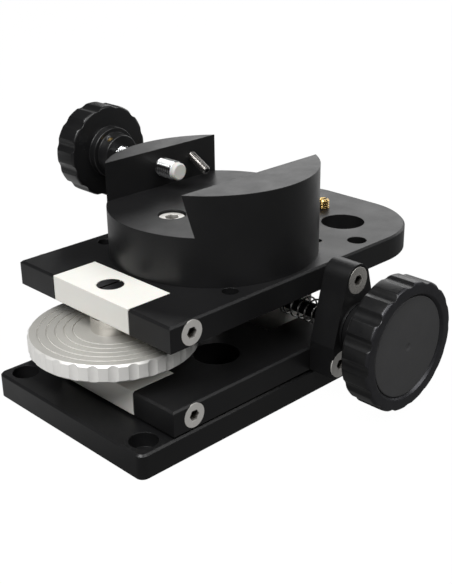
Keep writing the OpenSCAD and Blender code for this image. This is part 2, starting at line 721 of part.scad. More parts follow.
// One turned piece with a channel along X, undercut on the near side
module saddle() color("#1a1b1d") {
    undercut = (saddle_h - saddle_floor) * tan(jaw_angle);
    difference() {
        translate([saddle_x, 0, alt_z1]) cylinder(d = saddle_d, h = saddle_h, $fn = fine);
        translate([saddle_x - saddle_d, 0, 0]) rotate([90, 0, 90]) linear_extrude(2 * saddle_d) polygon([
            [-jaw_near_y - undercut, floor_z], [jaw_far_y, floor_z],
            [jaw_far_y, saddle_z1 + past], [-jaw_near_y + past * tan(jaw_angle), saddle_z1 + past]
        ]);
        for (side = [-1, 1]) translate([saddle_x + side * saddle_screw_pitch / 2, 0, 0]) {
            translate([0, 0, alt_z1 - past])
                cylinder(d = screw_d + 2 * bolt_fit, h = saddle_floor, $fn = mid);
            translate([0, 0, cap_seat_z]) cylinder(d = cap_cbore_d, h = saddle_floor, $fn = mid);
        }
        y_rod(saddle_x, jaw_mid_z, jaw_far_y - past, saddle_r + past, clamp_d + 2 * run_fit);
        safety_axis() rod_down(safety_d + 2 * run_fit, saddle_r);
        safety_axis() cylinder(d = safety_d + 2 * run_fit, h = safety_d, $fn = mid);
    }
}

module saddle_screws() color("#cfcfca")
    for (side = [-1, 1])
        translate([saddle_x + side * saddle_screw_pitch / 2, 0, cap_seat_z]) difference() {
            union() {
                cylinder(d = cap_head_d, h = cap_head_h, $fn = mid);
                rod_down(screw_d, cap_seat_z - alt_z0 - past);
            }
            translate([0, 0, cap_head_h]) socket_cut(cap_socket_af, socket_depth);
        }

module safety_screw() color("#c8c8c4")
    safety_axis() difference() {
        translate([0, 0, -safety_out]) cylinder(d = safety_d, h = safety_in + safety_out, $fn = mid);
        translate([0, 0, safety_in]) socket_cut(safety_socket_af, socket_depth);
    }

module clamp_screw() color("#bfc1c3")
    difference() {
        y_rod(saddle_x, jaw_mid_z, tip_end_y, clamp_hub_y + clamp_bore_len - past / 2, clamp_d);
        y_rod(saddle_x, jaw_mid_z, clamp_tip_y, tip_end_y + tip_stem_len, tip_stem_d + 2 * run_fit);
    }

// Nylon pad with a stem that turns freely in the screw's end
module clamp_tip() color("#f0f0ec")
    translate([saddle_x, clamp_tip_y, jaw_mid_z]) rotate([-90, 0, 0]) rotate_extrude($fn = mid) polygon([
        [0, 0], [tip_d / 2 - tip_chamfer, 0], [tip_d / 2, tip_chamfer],
        [tip_d / 2, clamp_tip_len - slide_gap], [tip_stem_d / 2, clamp_tip_len - slide_gap],
        [tip_stem_d / 2, clamp_tip_len + tip_stem_len - past], [0, clamp_tip_len + tip_stem_len - past]
    ]);

module clamp_knob() color("#1d1e20")
    difference() {
        translate([saddle_x, clamp_hub_y, jaw_mid_z]) rotate([-90, 0, 0]) grip_knob(
            clamp_knob_d, clamp_knob_thk, clamp_boss_d, clamp_hub_len, clamp_d + 2 * run_fit, clamp_bore_len,
            clamp_knob_scallops, clamp_knob_phase
        );
        grub(
            saddle_x, clamp_grub_y, jaw_mid_z, clamp_grub_lean, clamp_grub_d + 2 * run_fit,
            clamp_d, clamp_boss_d
        );
    }

module clamp_knob_grub() color("#c9a23f")
    grub(saddle_x, clamp_grub_y, jaw_mid_z, clamp_grub_lean, clamp_grub_d, clamp_d, clamp_grub_h);

module clamp_knob_cap() color("#2a2b2d")
    y_rod(saddle_x, jaw_mid_z, clamp_front_y - cap_recess + slide_gap, clamp_front_y - cap_recess + cap_thk,
        clamp_knob_d * cap_share - 2 * run_fit);

base_plate();
glide_ring();
glide_pads();
azimuth_pivot_bolt();
pivot_spring_washer();
block_pivot_screw();
block_washer();
azimuth_block();
azimuth_plate();
near_cheek();
far_cheek();
cheek_screws();
hinge_bushes();
lower_cross_screws();
lower_block();
azimuth_screw_bush();
azimuth_thrust_washer();
azimuth_spring();
azimuth_screw();
azimuth_knob();
azimuth_knob_cap();
azimuth_knob_grub();
altitude_spindle();
altitude_wheel();
upper_collar();
lower_collar();
spindle_clip();
altitude_plate();
hinge_screws();
upper_cross_screws();
upper_block();
brass_stud();
saddle();
saddle_screws();
safety_screw();
clamp_screw();
clamp_tip();
clamp_knob();
clamp_knob_cap();
clamp_knob_grub();
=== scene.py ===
# A fine adjustment mount for a small telescope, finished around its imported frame.
# The sections follow the mount as it is put together, from the base plate up to the clamp knob.
import json
import math

import bpy
import numpy as np
from mathutils import Matrix, Vector

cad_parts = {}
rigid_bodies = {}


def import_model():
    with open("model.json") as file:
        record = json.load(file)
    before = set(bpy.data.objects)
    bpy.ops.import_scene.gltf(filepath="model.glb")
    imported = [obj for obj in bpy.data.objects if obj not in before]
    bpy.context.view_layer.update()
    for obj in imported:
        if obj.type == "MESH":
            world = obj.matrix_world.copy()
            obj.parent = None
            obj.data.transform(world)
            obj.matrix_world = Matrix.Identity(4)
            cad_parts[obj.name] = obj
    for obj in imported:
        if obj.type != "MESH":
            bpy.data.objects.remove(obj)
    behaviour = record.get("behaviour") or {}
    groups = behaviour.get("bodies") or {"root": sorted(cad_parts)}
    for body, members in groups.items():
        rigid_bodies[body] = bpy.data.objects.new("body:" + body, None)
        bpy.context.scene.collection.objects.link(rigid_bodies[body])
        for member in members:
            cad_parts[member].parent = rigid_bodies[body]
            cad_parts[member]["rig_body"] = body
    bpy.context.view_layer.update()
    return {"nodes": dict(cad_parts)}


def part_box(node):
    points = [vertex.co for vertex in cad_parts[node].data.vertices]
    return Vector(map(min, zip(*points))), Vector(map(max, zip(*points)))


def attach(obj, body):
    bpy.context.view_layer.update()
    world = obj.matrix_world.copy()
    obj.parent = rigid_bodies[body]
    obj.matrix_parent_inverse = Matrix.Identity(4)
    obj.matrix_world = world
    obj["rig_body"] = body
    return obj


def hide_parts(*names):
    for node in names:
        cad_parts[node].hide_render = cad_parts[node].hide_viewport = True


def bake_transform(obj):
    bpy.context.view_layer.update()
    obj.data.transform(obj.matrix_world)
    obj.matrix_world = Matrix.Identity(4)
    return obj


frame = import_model()


# ---- Base plate -----------------------------------------------------------------------------
# A sawn and milled aluminium slab with a bolt hole in each corner, chamfered along its top
# edges, bead blasted and anodised satin black.
mm = 0.001


def start_finish(name, colour, rough, metal=0.0, gloss=0.5):
    """A material with its shader, and a node maker that takes a node's type and its settings."""
    material = bpy.data.materials.new(name)
    material.use_nodes = True
    tree = material.node_tree
    shader = tree.nodes["Principled BSDF"]
    shader.inputs["Base Color"].default_value = (*colour, 1)
    shader.inputs["Roughness"].default_value = rough
    shader.inputs["Metallic"].default_value = metal
    shader.inputs["Specular IOR Level"].default_value = gloss

    def node(kind, inputs=None, **settings):
        made = tree.nodes.new("ShaderNode" + kind)
        for key, value in settings.items():
            setattr(made, key, value)
        for key, value in (inputs or {}).items():
            if isinstance(value, bpy.types.NodeSocket):
                tree.links.new(value, made.inputs[key])
            else:
                made.inputs[key].default_value = value
        return made

    return material, shader, node, tree.links.new


def clouded(node, link, shader, where, dark, light, rough_low, rough_high, patch):
    """Colour and sheen that drift slowly over the surface, as a tank-dyed or moulded finish does."""
    drift = node("TexNoise", {"Vector": where, "Scale": 1 / patch, "Detail": 4.0, "Roughness": 0.6})
    shade = node("MixRGB", {"Fac": drift.outputs["Fac"], "Color1": (*dark, 1), "Color2": (*light, 1)})
    link(shade.outputs["Color"], shader.inputs["Base Color"])
    rub = node("TexNoise", {"Vector": where, "Scale": 3 / patch, "Detail": 6.0, "Roughness": 0.7})
    sheen = node("MapRange", {"Value": rub.outputs["Fac"], "From Min": 0.3, "From Max": 0.7,
                              "To Min": rough_low, "To Max": rough_high})
    link(sheen.outputs["Result"], shader.inputs["Roughness"])


def grained(node, link, shader, where, grain, height, edge):
    """Fine blasted grain over edges that are broken by a small radius."""
    broken = node("Bevel", {"Radius": edge}, samples=4)
    speckle = node("TexNoise", {"Vector": where, "Scale": 1 / grain, "Detail": 2.0})
    bump = node("Bump", {"Strength": 1.0, "Distance": height, "Height": speckle.outputs["Fac"],
                         "Normal": broken.outputs["Normal"]})
    link(bump.outputs["Normal"], shader.inputs["Normal"])


def black_anodise(name, patch):
    material, shader, node, link = start_finish(name, (0.008, 0.008, 0.0085), 0.4, gloss=0.35)
    where = node("TexCoord").outputs["Object"]
    clouded(node, link, shader, where, (0.005, 0.005, 0.0053), (0.009, 0.009, 0.0094), 0.34, 0.44, patch)
    grained(node, link, shader, where, 0.35 * mm, 0.006 * mm, 0.35 * mm)
    return material


def give_finish(material, *names):
    for name in names:
        frame["nodes"][name].material_slots[0].material = material


give_finish(black_anodise("black_anodise_base", 40 * mm), "base_plate")


# ---- Azimuth pivot and glides ---------------------------------------------------------------
# A shoulder bolt and a wavy washer hold the azimuth plate to the base, on a ring and two pads
# of slippery white nylon let into the base. All of it is bought in.
def white_nylon(name):
    material, shader, node, link = start_finish(name, (0.82, 0.81, 0.77), 0.45)
    where = node("TexCoord").outputs["Object"]
    clouded(node, link, shader, where, (0.56, 0.56, 0.53), (0.64, 0.64, 0.61), 0.38, 0.5, 6 * mm)
    grained(node, link, shader, where, 0.2 * mm, 0.003 * mm, 0.3 * mm)
    shader.inputs["Subsurface Weight"].default_value = 0.3
    shader.inputs["Subsurface Scale"].default_value = 1 * mm
    return material


def shade_painted_in_hollows(node, link, shader, reach):
    """Painted shade: darkens the colour towards a dark brown in sockets, slots and thread roots, wherever
    the ambient occlusion finds the surface closed in.
    """
    open_air = node("AmbientOcclusion", {"Distance": reach}, samples=6, only_local=True)
    # Painted shade mask: 0 deep in a hollow, 1 in the open.
    unshaded_amount = node("MapRange", {"Value": open_air.outputs["AO"], "From Min": 0.4, "From Max": 0.8})
    metal = shader.inputs["Base Color"].links[0].from_socket
    shade = node("MixRGB", {"Fac": unshaded_amount.outputs["Result"], "Color1": (0.035, 0.028, 0.018, 1),
                            "Color2": metal})
    link(shade.outputs["Color"], shader.inputs["Base Color"])


def machined_steel(name, dark, light, rough_low, rough_high, metal=1.0, edge=0.15 * mm):
    material, shader, node, link = start_finish(name, light, rough_low, metal=metal)
    where = node("TexCoord").outputs["Object"]
    clouded(node, link, shader, where, dark, light, rough_low, rough_high, 3 * mm)
    grained(node, link, shader, where, 0.15 * mm, 0.0005 * mm, edge)
    # Painted shade in sockets, slots and thread roots.
    shade_painted_in_hollows(node, link, shader, 4 * mm)
    return material


nylon = white_nylon("white_nylon")
stainless = machined_steel("bright_stainless", (0.76, 0.74, 0.70), (0.88, 0.86, 0.82), 0.32, 0.44, 0.55)
give_finish(nylon, "glide_ring", "glide_pads", "block_washer", "clamp_tip")
give_finish(stainless, "azimuth_pivot_bolt", "pivot_spring_washer", "block_pivot_screw",
            "azimuth_knob_grub", "spindle_clip")


# ---- Azimuth plate and its white blocks -----------------------------------------------------
# The lower moving plate, black anodised like the base. Milled white acetal blocks stand in its
# slots: one carries the spindle, the other is the nut that the azimuth screw turns in.
def white_acetal(name):
    material, shader, node, link = start_finish(name, (0.80, 0.79, 0.75), 0.42)
    where = node("TexCoord").outputs["Object"]
    clouded(node, link, shader, where, (0.76, 0.75, 0.70), (0.82, 0.81, 0.77), 0.36, 0.48, 15 * mm)
    stretched = node("Mapping", {"Vector": where, "Scale": (1, 0.04, 1)})
    mill = node("TexNoise", {"Vector": stretched.outputs["Vector"], "Scale": 1 / (0.5 * mm), "Detail": 2.0})
    broken = node("Bevel", {"Radius": 0.6 * mm}, samples=4)
    bump = node("Bump", {"Strength": 1.0, "Distance": 0.004 * mm, "Height": mill.outputs["Fac"],
                         "Normal": broken.outputs["Normal"]})
    link(bump.outputs["Normal"], shader.inputs["Normal"])
    shader.inputs["Subsurface Weight"].default_value = 0.06
    shader.inputs["Subsurface Scale"].default_value = 1.5 * mm
    return material


acetal = white_acetal("white_acetal")
give_finish(black_anodise("black_anodise_azimuth_plate", 35 * mm), "azimuth_plate")
give_finish(acetal, "azimuth_block", "lower_block", "upper_block")
give_finish(stainless, "lower_cross_screws", "upper_cross_screws", "cheek_screws")


# ---- Cheeks and hinge -----------------------------------------------------------------------
# Two milled aluminium cheeks stand on the azimuth plate's sides, each held by two countersunk
# screws. A shoulder screw through a bronze bush at the top of each is the altitude hinge.
give_finish(black_anodise("black_anodise_cheeks", 20 * mm), "near_cheek", "far_cheek")
hinge_steel = machined_steel("hinge_screw_steel", (0.60, 0.58, 0.54), (0.74, 0.72, 0.68), 0.24, 0.36,
                             metal=0.75, edge=0.3 * mm)
give_finish(hinge_steel, "hinge_screws")
bronze = machined_steel("sintered_bronze", (0.42, 0.27, 0.11), (0.56, 0.37, 0.16), 0.35, 0.5)
give_finish(bronze, "hinge_bushes", "azimuth_screw_bush")


# ---- Azimuth screw --------------------------------------------------------------------------
# A black oxidised M6 screw with a fine thread. Its plain journal turns in the near cheek's bush
# and its thread runs through the white block.
def set_on_axis(points, origin, axis):
    """Turns points from their own +Z to the axis, from the origin."""
    turn = Vector((0, 0, 1)).rotation_difference(Vector(axis)).to_matrix()
    return np.asarray(points) @ np.array(turn).T + np.array(origin)


def new_piece(name, points, faces, material, body, smooth_angle=35):
    mesh = bpy.data.meshes.new(name)
    mesh.from_pydata([tuple(p) for p in points], [], faces)
    mesh.validate()
    mesh.update()
    piece = bpy.data.objects.new(name, mesh)
    bpy.context.scene.collection.objects.link(piece)
    mesh.materials.append(material)
    mesh.shade_smooth()
    mesh.set_sharp_from_angle(angle=math.radians(smooth_angle))
    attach(piece, body)
    return piece


def skin(radii, heights, angles):
    """Closed skin over a grid of radii, one row per height, with its two ends closed."""
    rows, around = radii.shape
    cos_a, sin_a = np.cos(angles), np.sin(angles)
    grid = np.stack([radii * cos_a, radii * sin_a, np.repeat(heights[:, None], around, 1)], axis=2)
    points = [*grid.reshape(-1, 3), (0, 0, heights[0]), (0, 0, heights[-1])]
    faces = []
    for i in range(rows - 1):
        for j in range(around):
            k = (j + 1) % around
            faces.append((i * around + j, i * around + k, (i + 1) * around + k, (i + 1) * around + j))
    first, last = rows * around, rows * around + 1
    for j in range(around):
        k = (j + 1) % around
        faces.append((first, k, j))
        faces.append((last, (rows - 1) * around + j, (rows - 1) * around + k))
    return points, faces


def thread(length, outer_r, pitch, lead_in, around=48, steps=12):
    """A threaded rod along +Z: a helical groove is cut into it, and both its ends taper in."""
    rows = max(8, round(length / pitch * steps))
    heights = np.linspace(0, length, rows + 1)
    angles = np.linspace(0, 2 * math.pi, around, endpoint=False)
    turn = (heights[:, None] / pitch + angles[None, :] / (2 * math.pi)) % 1
    crest_half, flank = 0.109375, 0.3125
    groove = np.clip((np.abs(turn - 0.5) - crest_half) / flank, 0, 1)
    depth = 0.55 * pitch
    from_end = np.minimum(heights, length - heights)[:, None]
    outside = outer_r - np.clip(lead_in - from_end, 0, None)
    return np.minimum(outer_r - depth * groove, outside), heights, angles


def blackened(name):
    material, shader, node, link = start_finish(name, (0.03, 0.03, 0.033), 0.35, metal=0.6)
    where = node("TexCoord").outputs["Object"]
    clouded(node, link, shader, where, (0.02, 0.02, 0.022), (0.045, 0.045, 0.05), 0.28, 0.42, 2 * mm)
    grained(node, link, shader, where, 0.15 * mm, 0.003 * mm, 0.1 * mm)
    return material


black_steel = blackened("black_oxide_steel")
lo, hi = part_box("azimuth_screw")
cheek_lo, cheek_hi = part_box("near_cheek")
screw_x, screw_z = (lo.x + hi.x) / 2, (lo.z + hi.z) / 2
screw_r, screw_pitch = 3 * mm, 1 * mm
radii, heights, angles = thread(hi.y - cheek_hi.y, screw_r, screw_pitch, 0.5 * mm)
journal_len = cheek_hi.y - lo.y
journal_r = (hi.z - lo.z) / 2
shoulder = 0.05 * mm
radii = np.vstack([np.full((2, len(angles)), journal_r), radii])
heights = np.concatenate([[-journal_len, -shoulder], heights])
points, faces = skin(radii, heights, angles)
points = set_on_axis(points, (screw_x, cheek_hi.y, screw_z), (0, 1, 0))
azimuth_screw = new_piece("azimuth_screw_thread", points, faces, black_steel, "azimuth_drive")
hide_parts("azimuth_screw")


# ---- Azimuth spring -------------------------------------------------------------------------
# A compression spring of 0.76 mm stainless wire around the azimuth screw. It pushes the white
# block and the near cheek apart, and so takes up the thread's slack.
def coil(start_y, end_y, mean_r, wire_r, turns, dead_turns, around=14, per_turn=32):
    """Wire wound along +Y with its last turns closed up at both ends."""
    count = round((turns + 2 * dead_turns) * per_turn)
    wound = np.linspace(0, turns + 2 * dead_turns, count + 1)
    rise = np.clip(wound - dead_turns, 0, turns) / turns
    closed = np.clip(wound, 0, dead_turns) + np.clip(wound - dead_turns - turns, 0, dead_turns)
    closed_pitch = 2 * wire_r * 1.02
    free = (end_y - start_y) - 2 * wire_r - 2 * closed_pitch * dead_turns
    y = start_y + wire_r + closed * closed_pitch + rise * free
    a = wound * 2 * math.pi
    centre = np.stack([mean_r * np.cos(a), y, mean_r * np.sin(a)], axis=1)
    along = np.gradient(centre, axis=0)
    along /= np.linalg.norm(along, axis=1)[:, None]
    out = np.stack([np.cos(a), np.zeros_like(a), np.sin(a)], axis=1)
    side = np.cross(along, out)
    side /= np.linalg.norm(side, axis=1)[:, None]
    w = np.linspace(0, 2 * math.pi, around, endpoint=False)
    cos_w, sin_w = np.cos(w)[None, :, None], np.sin(w)[None, :, None]
    ring = wire_r * (cos_w * out[:, None, :] + sin_w * side[:, None, :])
    points = (centre[:, None, :] + ring).reshape(-1, 3)
    faces = []
    for i in range(count):
        for j in range(around):
            k = (j + 1) % around
            faces.append((i * around + j, (i + 1) * around + j, (i + 1) * around + k, i * around + k))
    faces.append(tuple(range(around)))
    faces.append(tuple(count * around + j for j in reversed(range(around))))
    return points, faces


spring_wire = machined_steel("spring_wire", (0.55, 0.54, 0.52), (0.74, 0.73, 0.71), 0.2, 0.32,
                             edge=0.02 * mm)
lo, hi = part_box("azimuth_spring")
wire_r = 0.38 * mm
points, faces = coil(lo.y, hi.y, (hi.x - lo.x) / 2 - wire_r, wire_r, turns=6, dead_turns=1)
spring = new_piece("azimuth_coil_spring", points + np.array([screw_x, 0, screw_z]), faces, spring_wire,
                   "azimuth_table", 60)
spring.parent = None
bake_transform(spring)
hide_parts("azimuth_spring")


# ---- Azimuth knob ---------------------------------------------------------------------------
# A moulded satin black grip knob with a stepped boss, a scalloped rim and a pressed-in cap that
# sits a little below its front ring. A grub screw in the boss holds it on the journal.
def scalloped(rim_r, angles, count, first_deg, scallop_r, depth):
    """Radius of the rim at each angle, where round scallops bite into it."""
    step = 2 * math.pi / count
    off = (angles - math.radians(first_deg) + step / 2) % step - step / 2
    centre = rim_r + scallop_r - depth
    reach = scallop_r ** 2 - (centre * np.sin(off)) ** 2
    return np.where(reach > 0, centre * np.cos(off) - np.sqrt(np.clip(reach, 0, None)), rim_r * 2)


def soft_min(a, b, soft):
    """The smaller of two lengths, eased where they meet within the soft distance."""
    h = np.clip(0.5 + 0.5 * (b - a) / soft, 0, 1)
    return b * (1 - h) + a * h - soft * h * (1 - h)


def rounded(corners, arc=6):
    """Profile through corners (radius, height, rounding), with an arc at each rounded one."""
    out = []
    for i, (r, z, fillet) in enumerate(corners):
        here = np.array([r, z])
        if fillet == 0 or i in (0, len(corners) - 1):
            out.append(here)
            continue
        before = np.array(corners[i - 1][:2]) - here
        after = np.array(corners[i + 1][:2]) - here
        p = here + before / np.linalg.norm(before) * fillet
        q = here + after / np.linalg.norm(after) * fillet
        for t in np.linspace(0, 1, arc + 1):
            out.append((1 - t) ** 2 * p + 2 * t * (1 - t) * here + t ** 2 * q)
    return np.array(out)


def grip_knob(corners, rim_r, count, first_deg, scallop_r, depth, per_scallop=28):
    """Turned skin along +Z with scallops bitten into its rim."""
    profile = rounded(corners)
    angles = np.linspace(0, 2 * math.pi, count * per_scallop, endpoint=False)
    bite = scalloped(rim_r, angles, count, first_deg, scallop_r, depth)
    radii = soft_min(profile[:, 0][:, None], bite[None, :], 0.22 * mm)
    radii = np.where(bite[None, :] < 1.5 * rim_r, radii, profile[:, 0][:, None])
    return skin(np.maximum(radii, 0.01 * mm), profile[:, 1], angles)


def cut(piece, bit):
    """Takes the bit's shape out of the piece for good, and throws the bit away."""
    taken = piece.modifiers.new("cut", "BOOLEAN")
    taken.operation = "DIFFERENCE"
    taken.solver = "EXACT"
    taken.material_mode = "TRANSFER"
    taken.object = bit
    bpy.context.view_layer.update()
    cut_mesh = bpy.data.meshes.new_from_object(piece.evaluated_get(bpy.context.evaluated_depsgraph_get()))
    piece.modifiers.remove(taken)
    piece.data = cut_mesh
    bpy.data.objects.remove(bit)


def drilled(piece, origin, axis, radius, length):
    """Bores a round hole into a finished piece."""
    a = np.linspace(0, 2 * math.pi, 32, endpoint=False)
    points, faces = skin(np.full((2, 32), radius), np.array([0, length]), a)
    cut(piece, new_piece(piece.name + "_bit", set_on_axis(points, origin, axis), faces, black_steel,
                         piece["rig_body"]))


def moulded_black(name, dark, light, rough_low, rough_high, gloss=0.45):
    material, shader, node, link = start_finish(name, light, rough_low, gloss=gloss)
    where = node("TexCoord").outputs["Object"]
    clouded(node, link, shader, where, dark, light, rough_low, rough_high, 12 * mm)
    grained(node, link, shader, where, 0.5 * mm, 0.012 * mm, 0.2 * mm)
    return material


knob_black = moulded_black("knob_moulding", (0.005, 0.005, 0.0053), (0.009, 0.009, 0.0094), 0.27, 0.36)
cap_black = moulded_black("knob_front_moulding", (0.052, 0.052, 0.053), (0.066, 0.066, 0.067), 0.5, 0.6,
                          gloss=0.2)
give_finish(knob_black, "azimuth_thrust_washer")


def knob_corners(rim_r, boss_r, step_r, step_z, rim_z, front_z, recess_r, recess, edge):
    """Profile of a grip knob from its boss's end to the middle of its recess."""
    return [(0, 0, 0), (boss_r * 0.94, 0, 0.5 * mm), (boss_r, step_z, 0.3 * mm), (step_r, step_z, 0.5 * mm),
            (step_r, rim_z, 0.4 * mm), (rim_r, rim_z, edge), (rim_r, front_z, edge),
            (recess_r + 1.1 * mm, front_z, 0.45 * mm), (recess_r - 0.1 * mm, front_z - recess, 0.3 * mm),
            (0, front_z - recess, 0)]


def pale_front(piece, front, facing):
    """Gives the front ring and its recess the knob's paler, duller front finish."""
    piece.data.materials.append(cap_black)
    for face in piece.data.polygons:
        if face.normal.dot(Vector(facing)) > 0.25 and abs(face.center.y - front) < 2 * mm:
            face.material_index = 1


lo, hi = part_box("azimuth_knob")
knob_x, knob_z = (lo.x + hi.x) / 2, (lo.z + hi.z) / 2
cap_lo, cap_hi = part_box("azimuth_knob_cap")
rim_r, boss_r = 26 * mm, 11 * mm
knob_len = hi.y - lo.y
rim_z = knob_len - 12.6 * mm
corners = knob_corners(rim_r, boss_r, boss_r + 2 * mm, rim_z * 0.6, rim_z, knob_len,
                       (cap_hi.x - cap_lo.x) / 2, cap_hi.y - lo.y, edge=1.5 * mm)
points, faces = grip_knob(corners, rim_r, count=16, first_deg=3, scallop_r=4 * mm, depth=1 * mm)
front_to_minus_y = np.array([[1, 0, 0], [0, 0, 1], [0, -1, 0]])
points = np.asarray(points) @ front_to_minus_y + np.array([knob_x, hi.y, knob_z])
azimuth_knob = new_piece("azimuth_grip_knob", points, faces, knob_black, "azimuth_drive", 40)
grub_lo, grub_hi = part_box("azimuth_knob_grub")
drilled(azimuth_knob, (knob_x, (grub_lo.y + grub_hi.y) / 2, knob_z), (0, 0, 1),
        (grub_hi.x - grub_lo.x) / 2 + 0.05 * mm, boss_r + 1 * mm)
pale_front(azimuth_knob, lo.y, (0, -1, 0))
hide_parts("azimuth_knob")


def knob_cap(name, origin, axis, cap_r, thick, material, body):
    """Thin round cap with a soft edge, and the small dimple that its mould gate leaves."""
    corners = [(0, 0, 0), (cap_r, 0, 0), (cap_r, thick * 0.7, 0), (cap_r - 0.3 * mm, thick, 0.2 * mm),
               (1.6 * mm, thick, 0.3 * mm), (0.9 * mm, thick - 0.25 * mm, 0.3 * mm),
               (0, thick - 0.28 * mm, 0)]
    profile = rounded(corners)
    around = 160
    angles = np.linspace(0, 2 * math.pi, around, endpoint=False)
    radii = np.repeat(np.maximum(profile[:, 0], 0.005 * mm)[:, None], around, 1)
    points, faces = skin(radii, profile[:, 1], angles)
    return new_piece(name, set_on_axis(points, origin, axis), faces, material, body, 40)


azimuth_cap = knob_cap("azimuth_knob_disc", (knob_x, cap_hi.y, knob_z), (0, -1, 0),
                       (cap_hi.x - cap_lo.x) / 2, cap_hi.y - cap_lo.y, cap_black, "azimuth_drive")
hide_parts("azimuth_knob_cap")


# ---- Altitude wheel and spindle -------------------------------------------------------------
# An aluminium hand wheel turned bright and clear anodised, with ring grooves on its face and
# fine scallops around its rim, on a slotted steel spindle between two nickel plated collars.
def turned_silver(name, centre, ring_pitch):
    """Turned aluminium: the tool leaves fine rings around the spindle, and the upper face is greyed with
    painted shade.
    """
    material, shader, node, link = start_finish(name, (0.80, 0.79, 0.77), 0.4, metal=0.35)
    where = node("TexCoord").outputs["Object"]
    clouded(node, link, shader, where, (0.84, 0.83, 0.80), (0.92, 0.91, 0.88), 0.36, 0.46, 10 * mm)
    # Painted shade: faces that look upwards are mixed towards grey, which darkens the wheel's top.
    facing = node("SeparateXYZ", {"Vector": node("NewGeometry").outputs["Normal"]})
    painted_top_shade = node("MapRange", {"Value": facing.outputs["Z"], "From Min": 0.6, "From Max": 0.95,
                                   "To Min": 0.0, "To Max": 1.0})
    bright = shader.inputs["Base Color"].links[0].from_socket
    top_shade_mixed = node("MixRGB", {"Fac": painted_top_shade.outputs["Result"], "Color1": bright,
                             "Color2": (0.48, 0.47, 0.44, 1)})
    link(top_shade_mixed.outputs["Color"], shader.inputs["Base Color"])
    moved = node("Mapping", {"Vector": where, "Location": (-centre.x, -centre.y, 0), "Scale": (1, 1, 0)})
    radius = node("VectorMath", {0: moved.outputs["Vector"]}, operation="LENGTH")
    rings = node("TexNoise", {"Scale": 1.0, "Detail": 3.0, "W": 0.0}, noise_dimensions="1D")
    turns = node("Math", {0: radius.outputs["Value"], 1: 1 / ring_pitch}, operation="MULTIPLY")
    link(turns.outputs["Value"], rings.inputs["W"])
    broken = node("Bevel", {"Radius": 0.25 * mm}, samples=4)
    bump = node("Bump", {"Strength": 1.0, "Distance": 0.004 * mm, "Height": rings.outputs["Fac"],
                         "Normal": broken.outputs["Normal"]})
    link(bump.outputs["Normal"], shader.inputs["Normal"])
    return material


lo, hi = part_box("altitude_wheel")
wheel_centre = (lo + hi) / 2
wheel_silver = turned_silver("turned_wheel", wheel_centre, 0.3 * mm)
give_finish(wheel_silver, "altitude_wheel")
collar_nickel = machined_steel("collar_nickel", (0.70, 0.68, 0.65), (0.80, 0.78, 0.75), 0.14, 0.22)
give_finish(collar_nickel, "upper_collar", "lower_collar")
spindle_steel = machined_steel("spindle_steel", (0.10, 0.10, 0.105), (0.17, 0.17, 0.18), 0.3, 0.42)
give_finish(spindle_steel, "altitude_spindle")


# ---- Altitude plate -------------------------------------------------------------------------
# The upper moving plate, black anodised aluminium with round corners at the hinge end and
# holes bored through it to reach what lies below.
give_finish(black_anodise("black_anodise_altitude_plate", 45 * mm), "altitude_plate")


# ---- Brass stud -----------------------------------------------------------------------------
# A slotted brass set screw that stands a few millimetres out of the altitude plate.
def bright_brass(name):
    return machined_steel(name, (0.66, 0.44, 0.14), (0.84, 0.60, 0.24), 0.2, 0.3, edge=0.02 * mm)


brass = bright_brass("bright_brass")
lo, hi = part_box("brass_stud")
stud_x, stud_y = (lo.x + hi.x) / 2, (lo.y + hi.y) / 2
radii, heights, angles = thread(hi.z - lo.z, (hi.x - lo.x) / 2, 0.8 * mm, 0.5 * mm)
points, faces = skin(radii, heights, angles)
stud = new_piece("brass_set_screw", set_on_axis(points, (stud_x, stud_y, lo.z), (0, 0, 1)), faces, brass,
                 "altitude_table")
slot_half_len, slot_half_width, slot_depth = 4 * mm, 0.5 * mm, 1.2 * mm
slot_points = [(stud_x + x * slot_half_len, stud_y + y * slot_half_width, hi.z + z * slot_depth)
               for x in (-1, 1) for y in (-1, 1) for z in (-1, 1)]
slot_faces = [(0, 1, 3, 2), (4, 6, 7, 5), (0, 4, 5, 1), (2, 3, 7, 6), (0, 2, 6, 4), (1, 5, 7, 3)]
cut(stud, new_piece("stud_slot_bit", slot_points, slot_faces, brass, "altitude_table"))
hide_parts("brass_stud")
give_finish(brass, "clamp_knob_grub")


# ---- Saddle ---------------------------------------------------------------------------------
# A round saddle turned and milled from one piece of aluminium, black anodised, with a dovetail
# channel across it. Two socket head cap screws in the channel floor hold it to the plate.
give_finish(black_anodise("black_anodise_saddle", 30 * mm), "saddle")
give_finish(stainless, "saddle_screws")


# ---- Safety screw ---------------------------------------------------------------------------
# A stainless M4 set screw that slants down through the far jaw. Run in, it stops the dovetail
# bar from sliding out. Its inner end has a small hex socket.
def hex_bored(piece, origin, axis, across_flats, depth):
    """Broaches a hexagonal socket of that depth into the piece, in from the origin."""
    a = np.linspace(0, 2 * math.pi, 6, endpoint=False)
    heights = np.array([-0.5 * mm, depth])
    points, faces = skin(np.full((2, 6), across_flats / math.sqrt(3)), heights, a)
    cut(piece, new_piece(piece.name + "_bit", set_on_axis(points, origin, axis), faces, black_steel,
                         piece["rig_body"]))


